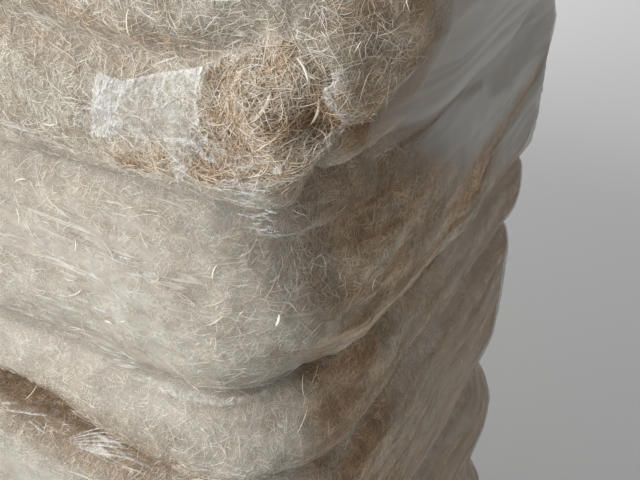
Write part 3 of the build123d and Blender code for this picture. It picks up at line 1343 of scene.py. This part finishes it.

# Pleats of film, whiter along their crests partly as real folds and partly as painted glints, each
# from one run and height to another, and its width
pleats = [
    (-0.0785, 0.5799, -0.0659, 0.5865, 0.0012), (-0.0440, 0.5966, -0.0400, 0.5986, 0.0010),
    (-0.1531, 0.5365, -0.1369, 0.5373, 0.0012), (-0.1568, 0.5388, -0.1454, 0.5394, 0.0010),
    (-0.1009, 0.5144, -0.0896, 0.5204, 0.0009), (-0.0421, 0.5410, -0.0275, 0.5421, 0.0010),
    (-0.0440, 0.5379, -0.0291, 0.5387, 0.0009), (-0.0415, 0.5357, -0.0280, 0.5357, 0.0011),
    (-0.0334, 0.5341, -0.0276, 0.5324, 0.0013), (-0.0351, 0.5294, -0.0289, 0.5282, 0.0015),
    (-0.0364, 0.5249, -0.0301, 0.5231, 0.0013), (-0.0370, 0.5187, -0.0324, 0.5168, 0.0012),
    (-0.1503, 0.4698, -0.1352, 0.4699, 0.0010), (-0.1069, 0.4838, -0.0987, 0.4843, 0.0009),
    (-0.1249, 0.4752, -0.1215, 0.4724, 0.0008), (-0.1266, 0.4476, -0.1155, 0.4481, 0.0009),
    (-0.1636, 0.4048, -0.1507, 0.4063, 0.0010), (-0.1448, 0.3894, -0.1316, 0.3906, 0.0012),
    (-0.1141, 0.4651, -0.1053, 0.4595, 0.0007), (-0.1142, 0.4645, -0.0799, 0.4716, 0.0008),
    (-0.0549, 0.4449, -0.0517, 0.4382, 0.0010), (-0.2098, 0.3412, -0.1977, 0.3441, 0.0013),
    (-0.2045, 0.3401, -0.1776, 0.3436, 0.0010), (-0.1732, 0.3402, -0.1668, 0.3399, 0.0014),
    (-0.1605, 0.3390, -0.1330, 0.3530, 0.0008), (-0.1605, 0.3386, -0.1290, 0.3510, 0.0009),
    (-0.1600, 0.3382, -0.1262, 0.3490, 0.0009), (-0.1592, 0.3378, -0.1240, 0.3470, 0.0009),
    (-0.1580, 0.3374, -0.1215, 0.3450, 0.0009), (-0.1565, 0.3371, -0.1190, 0.3430, 0.0008),
    (-0.1550, 0.3369, -0.1170, 0.3415, 0.0009), (-0.1286, 0.3414, -0.1091, 0.3407, 0.0012),
    (-0.1084, 0.3418, -0.0804, 0.3631, 0.0013), (-0.0767, 0.3673, -0.0641, 0.3678, 0.0012),
    (-0.0612, 0.3766, -0.0493, 0.3731, 0.0011), (-0.0564, 0.3698, -0.0471, 0.3676, 0.0011),
    (-0.1884, 0.3399, -0.1728, 0.3373, 0.0008), (-0.0023, 0.5707, -0.0047, 0.5657, 0.0014),
    (-0.0047, 0.5657, -0.0089, 0.5622, 0.0016), (-0.0062, 0.5690, -0.0105, 0.5650, 0.0012),
]
small_pleats = 150
corner_pleats = 70

# Straws, each from one run and height to another, and its width
straws = [
    (-0.0276, 0.5838, -0.0312, 0.5748, 0.0020), (-0.0820, 0.6025, -0.0833, 0.5908, 0.0008),
    (-0.0125, 0.5826, -0.0149, 0.5703, 0.0010), (-0.0225, 0.5938, -0.0112, 0.5884, 0.0019),
    (-0.0367, 0.4674, -0.0378, 0.4613, 0.0015), (-0.0602, 0.4918, -0.0621, 0.4831, 0.0007),
    (-0.1188, 0.4423, -0.1133, 0.4430, 0.0013), (-0.1564, 0.3787, -0.1640, 0.3650, 0.0006),
    (-0.0200, 0.5960, -0.0160, 0.5870, 0.0010), (-0.0300, 0.5640, -0.0250, 0.5690, 0.0008),
]
small_straws = 50

wrapped = tree_of([film, *batts])


def on_stack(run, height, lift):
    """A place that much outside the film, or outside the bare fibre in a tear."""
    place, facing = stack_outline.place(run, -film_start)
    start, way = Vector((*place, height)), Vector((*-facing, 0))
    distance = wrapped.ray_cast(start, way, ray_reach)[3] or film_start
    return np.array(start + way * (distance - lift)), np.array((*facing, 0.0))


def along_line(line, share):
    """Places at shares of the way along a line of places."""
    line = np.array(line)
    steps = np.hypot(*np.diff(line, axis=0).T)
    way = np.concatenate([[0], np.cumsum(steps)]) / steps.sum()
    return np.column_stack([np.interp(share, way, line[:, i]) for i in (0, 1)])


def ridges(places, size, seed):
    """Sharp folds with about the given spacing, from 0 to 1."""
    return sharp_folds(*places.T, length=size, spacing=size, seed=seed, narrow=3.0)


def film_scrap(name, lower, upper, cells, shape):
    """A scrap of film between two lines on the stack's side. The shape gives, for each point, how
    far it stands off and how sharply it is folded, which on pleat crests also shows as a painted
    glint."""
    scrap, along, up = make_grid(name, *cells)
    low, high = along_line(lower, along), along_line(upper, along)
    places = low + (high - low) * up[:, None]
    lifts, fold_and_glint = shape(along, up, places)
    points = [on_stack(run, height, lift)[0] for (run, height), lift in zip(places, lifts)]
    move_points(scrap, np.array(points))
    paint(scrap, "fold_and_glint", np.clip(fold_and_glint, 0, 1))
    lay_map(scrap, places[:, 0], places[:, 1], stack_outline.total)
    bpy.ops.object.shade_smooth()
    return scrap


def border(along, up, reach):
    """1 on the border of a scrap, fading inwards."""
    edge = np.minimum(np.minimum(along, 1 - along), np.minimum(up, 1 - up))
    return 1 - smooth_step(0, reach, edge)


def patch_shape(along, up, places):
    small, wide = ridges(places, 0.0030, 4.0), ridges(places, 0.0090, 8.0)
    narrow = 1 - smooth_step(0.22, 0.32, along)
    upright = np.abs(np.sin(places[:, 0] * math.pi / 0.0019)) ** 2 * narrow
    lifts = 0.0006 + 0.0011 * wide + 0.0005 * small + 0.0008 * upright
    top = smooth_step(0.90, 0.98, up) * smooth_step(0.22, 0.30, along)
    right = smooth_step(0.955, 0.985, along)
    left = (1 - smooth_step(0.25, 0.35, along)) * 0.35
    upper = 0.22 * smooth_step(0.60, 0.85, up)
    fold_and_glint = 0.16 * small + 0.24 * wide + 0.25 * upright + 0.30 * top + 0.30 * right
    return lifts, fold_and_glint + 0.5 * left + 0.5 * upper


def crumpled_shape(stand, size, seed):
    def shape(along, up, places):
        folds = ridges(places, size, seed)
        lifts = stand + 0.0010 * folds
        return lifts, 0.08 + 0.32 * folds + 0.20 * border(along, up, 0.12)
    return shape


def rolled_shape(along, up, places):
    arch = np.sin(math.pi * up) * np.minimum(1, 6 * np.minimum(along, 1 - along))
    folds = ridges(places, 0.0026, 15.0)
    lifts = 0.0006 + 0.0026 * arch + 0.0004 * folds
    return lifts, 0.12 + 0.25 * folds + 0.45 * np.abs(2 * up - 1) ** 4


def rope_shape(along, up, places):
    arch = np.sin(math.pi * up) * np.minimum(1, 5 * np.minimum(along, 1 - along))
    twist = np.abs(np.sin(places[:, 0] * 420 + 5 * up))
    return 0.0004 + 0.0030 * arch + 0.0006 * twist, 0.10 + 0.30 * arch * twist


def pleat_shape(strength):
    def shape(along, up, places):
        ends = np.sqrt(np.clip(np.sin(math.pi * along), 0, 1))
        crest = np.sin(math.pi * up) * ends
        return 0.0002 + 0.0009 * crest, strength * crest**1.5
    return shape


def pleat(number, strength, run_a, height_a, run_b, height_b, width):
    """A short sharp ridge in the film, its crest whiter as a painted glint."""
    along = np.array((run_b - run_a, height_b - height_a))
    side = np.array((-along[1], along[0])) / np.linalg.norm(along) * width / 2
    ends = np.array(((run_a, height_a), (run_b, height_b)))
    cells = (max(3, round(np.linalg.norm(along) / 0.0018)), 4)
    return film_scrap(f"pleat_{number}", ends - side, ends + side, cells, pleat_shape(strength))


def from_place(run, height, length, turn):
    """The place that far from another on the side, in the direction of the turn."""
    return run + length * math.cos(turn), height + length * math.sin(turn)


def make_pleats():
    random = np.random.default_rng(5)
    rows = [(random.uniform(0.35, 0.95), *row) for row in pleats]
    while len(rows) < len(pleats) + small_pleats:
        run, height = random.uniform(-0.25, -0.015), random.uniform(0.355, 0.622)
        near = max(0.2, 1 + run / 0.25) * (1.0 if height < 0.535 else 0.5)
        length, turn = random.uniform(0.0015, 0.0070), random.normal(0.0, 0.22)
        width = random.uniform(0.00035, 0.0008)
        if random.random() < near:
            end = from_place(run, height, length, turn)
            rows.append((random.uniform(0.25, 0.9), run, height, *end, width))
    for _ in range(corner_pleats):
        height = random.uniform(0.506, 0.545)
        run = random.normal(-0.038, 0.004) - 0.25 * (height - 0.512)
        length, turn = random.uniform(0.0025, 0.0065), random.normal(0.05, 0.16)
        end = from_place(run, height, length, turn)
        rows.append((random.uniform(0.2, 0.75), run, height, *end, random.uniform(0.0006, 0.0014)))
    return joined([pleat(number, *row) for number, row in enumerate(rows)], "film_pleats")


def make_straw(number, run_a, height_a, run_b, height_b, width):
    """A flat sliver of straw that lies on the side, a little bent."""
    straw = make_rod(f"straw_{number}", 6, 4)
    flat = points_of(straw)
    arch = 1 - (2 * flat[:, 0]) ** 2
    taper = np.sqrt(np.clip(1.04 - (2 * flat[:, 0]) ** 2, 0.03, 1))
    begin, facing = on_stack(run_a, height_a, 0.0006)
    end, _ = on_stack(run_b, height_b, 0.0010)
    along = end - begin
    length = np.linalg.norm(along)
    side = np.cross(facing, along / length)
    across = flat[:, 1] * taper * width + 0.10 * arch * length * (-1) ** number
    outward = flat[:, 2] * taper * width * 0.4 + 0.0002
    points = begin + np.outer(flat[:, 0] + 0.5, along)
    points += np.outer(across, side) + np.outer(outward, facing)
    move_points(straw, points)
    paint(straw, "tone", np.full(len(points), (number * 0.37) % 1))
    bpy.ops.object.shade_smooth()
    return straw


def make_straws():
    random = np.random.default_rng(9)
    rows = list(straws)
    for _ in range(small_straws):
        run, height = random.uniform(-0.26, 0.0), random.uniform(0.30, 0.625)
        length, turn = random.uniform(0.004, 0.012), random.uniform(0, math.tau)
        end = from_place(run, height, length, turn)
        rows.append((run, height, *end, random.uniform(0.0003, 0.0006)))
    return joined([make_straw(number, *row) for number, row in enumerate(rows)], "straws")


def crumpled_film_material():
    material, tree, shader = new_material("crumpled film", roughness=0.25, specular=0.6)
    shader.inputs["Base Color"].default_value = (0.93, 0.93, 0.91, 1)
    place = surface_place(tree)
    fold_and_glint = attribute(tree, "fold_and_glint")

    # Painted glints: small white specks, more opaque, where it is folded
    bubbles = add_node(tree, "ShaderNodeTexVoronoi", {
        "Vector": place, "Scale": 900.0,
    }, voronoi_dimensions="2D")
    chance = add_node(tree, "ShaderNodeSeparateColor", {"Color": bubbles.outputs["Color"]})
    bright = step_between(tree, chance.outputs["Red"], 0.82, 0.90)
    glint_speck = step_between(tree, bubbles.outputs["Distance"], 0.42, 0.15)
    glint_speck = maths(tree, "MULTIPLY", glint_speck, bright)
    wrinkle = add_node(tree, "ShaderNodeTexNoise", {
        "Vector": place, "Scale": 420.0, "Detail": 3.0, "Roughness": 0.65,
    }, noise_dimensions="2D").outputs[0]
    # More opaque and white where it is folded and along pleat crests, partly real folds and partly
    # painted glints
    alpha = maths(tree, "MULTIPLY_ADD", fold_and_glint, 0.68, 0.05)
    alpha = maths(tree, "MULTIPLY", alpha, step_between(tree, wrinkle, 0.35, 0.60, 0.55, 1.25))
    painted_glint = maths(tree, "MULTIPLY", glint_speck, step_between(tree, fold_and_glint, 0.05, 0.35))
    alpha = maths(tree, "MULTIPLY_ADD", painted_glint, 0.55, alpha, clamp=True)
    tree.links.new(alpha, shader.inputs["Alpha"])
    height = maths(tree, "MULTIPLY_ADD", glint_speck, 0.6, wrinkle)
    add_bump(tree, shader, height, strength=0.8, distance=0.0012)
    return material


def straw_material():
    material, tree, shader = new_material("pale straw", roughness=0.55)
    place = object_place(tree)
    grain = add_node(tree, "ShaderNodeTexNoise", {"Vector": place, "Scale": 900.0, "Detail": 2.0})
    grain_share = maths(tree, "MULTIPLY", grain.outputs[0], 0.4)
    tone = maths(tree, "MULTIPLY_ADD", attribute(tree, "tone"), 0.6, grain_share)
    colour = colour_steps(tree, tone, [
        (0.0, (0.62, 0.52, 0.40)), (0.5, (0.86, 0.80, 0.67)), (1.0, (0.96, 0.94, 0.86)),
    ])
    tree.links.new(colour, shader.inputs["Base Color"])
    add_bump(tree, shader, grain.outputs[0], strength=0.5, distance=0.0003)
    return material


flap_shape = crumpled_shape(0.0016, 0.0040, 21.0)
strip_shape = crumpled_shape(0.0008, 0.0050, 25.0)
film_scraps = [
    film_scrap("film_patch", patch_lower, patch_upper, (90, 44), patch_shape),
    film_scrap("film_flap", flap_lower, flap_upper, (22, 32), flap_shape),
    film_scrap("film_strip", strip_lower, strip_upper, (40, 12), strip_shape),
    film_scrap("film_curl", curl_left, curl_right, (44, 14), rolled_shape),
    film_scrap("film_rope", rope_lower, rope_upper, (60, 10), rope_shape),
    make_pleats(),
]
crumpled_finish = crumpled_film_material()
for scrap in film_scraps:
    coat(scrap, crumpled_finish)
straw_bits = make_straws()
coat(straw_bits, straw_material())


# Each piece rides with the stack and stands for its solid

for batt, cad_name in zip(batts, batt_names):
    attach(batt, "root")
    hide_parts(cad_name)
for piece in (*loose, straw_bits):
    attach(piece, "root")
for piece in film_scraps:
    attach(piece, "root")
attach(film, "root")
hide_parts("stretch_film")


# Floor, light and camera

def make_floor():
    bpy.ops.mesh.primitive_plane_add(size=14, location=(0, 0, 0))
    floor = new_piece("floor")
    material, _, shader = new_material("pale floor", roughness=0.8)
    shader.inputs["Base Color"].default_value = (0.80, 0.80, 0.79, 1)
    coat(floor, material)


def aim(thing, target):
    way = Vector(target) - thing.location
    thing.rotation_euler = way.to_track_quat("-Z", "Y").to_euler()


def add_lamp(name, place, target, size, power):
    bpy.ops.object.light_add(type="AREA", location=place)
    lamp = bpy.context.object
    lamp.name = name
    lamp.data.shape = "SQUARE"
    lamp.data.size = size
    lamp.data.energy = power
    aim(lamp, target)


def light_studio():
    add_lamp("key lamp", (-1.3, -2.5, 2.0), (0.2, 0, 0.35), size=1.8, power=118)
    add_lamp("back lamp", (-1.6, 2.6, 1.8), (0, 0, 0.35), size=1.6, power=45)
    world = bpy.data.worlds.new("studio")
    bpy.context.scene.world = world
    world.use_nodes = True
    tree = world.node_tree
    fill = tree.nodes["Background"]
    fill.inputs["Color"].default_value = (0.95, 0.97, 1.0, 1)
    fill.inputs["Strength"].default_value = 0.24
    shown = add_node(tree, "ShaderNodeBackground", {"Color": (0.9, 0.9, 0.9, 1), "Strength": 1.0})
    path = tree.nodes.new("ShaderNodeLightPath")
    seen = maths(tree, "MAXIMUM", path.outputs["Is Camera Ray"], path.outputs["Is Glossy Ray"])
    seen = maths(tree, "MAXIMUM", seen, path.outputs["Is Transmission Ray"])
    mix = add_node(tree, "ShaderNodeMixShader", {0: seen, 1: fill.outputs[0], 2: shown.outputs[0]})
    tree.links.new(mix.outputs[0], tree.nodes["World Output"].inputs["Surface"])


def make_camera():
    bpy.ops.object.camera_add(location=camera_place)
    camera = bpy.context.object
    turn = Matrix((camera_right, camera_up, camera_right.cross(camera_up))).transposed()
    camera.rotation_euler = turn.to_euler()
    camera.data.lens = camera_lens
    camera.data.sensor_width = 36
    camera.data.clip_start = 0.01
    bpy.context.scene.camera = camera


make_floor()
light_studio()
make_camera()
bpy.context.scene.view_settings.view_transform = "Standard"
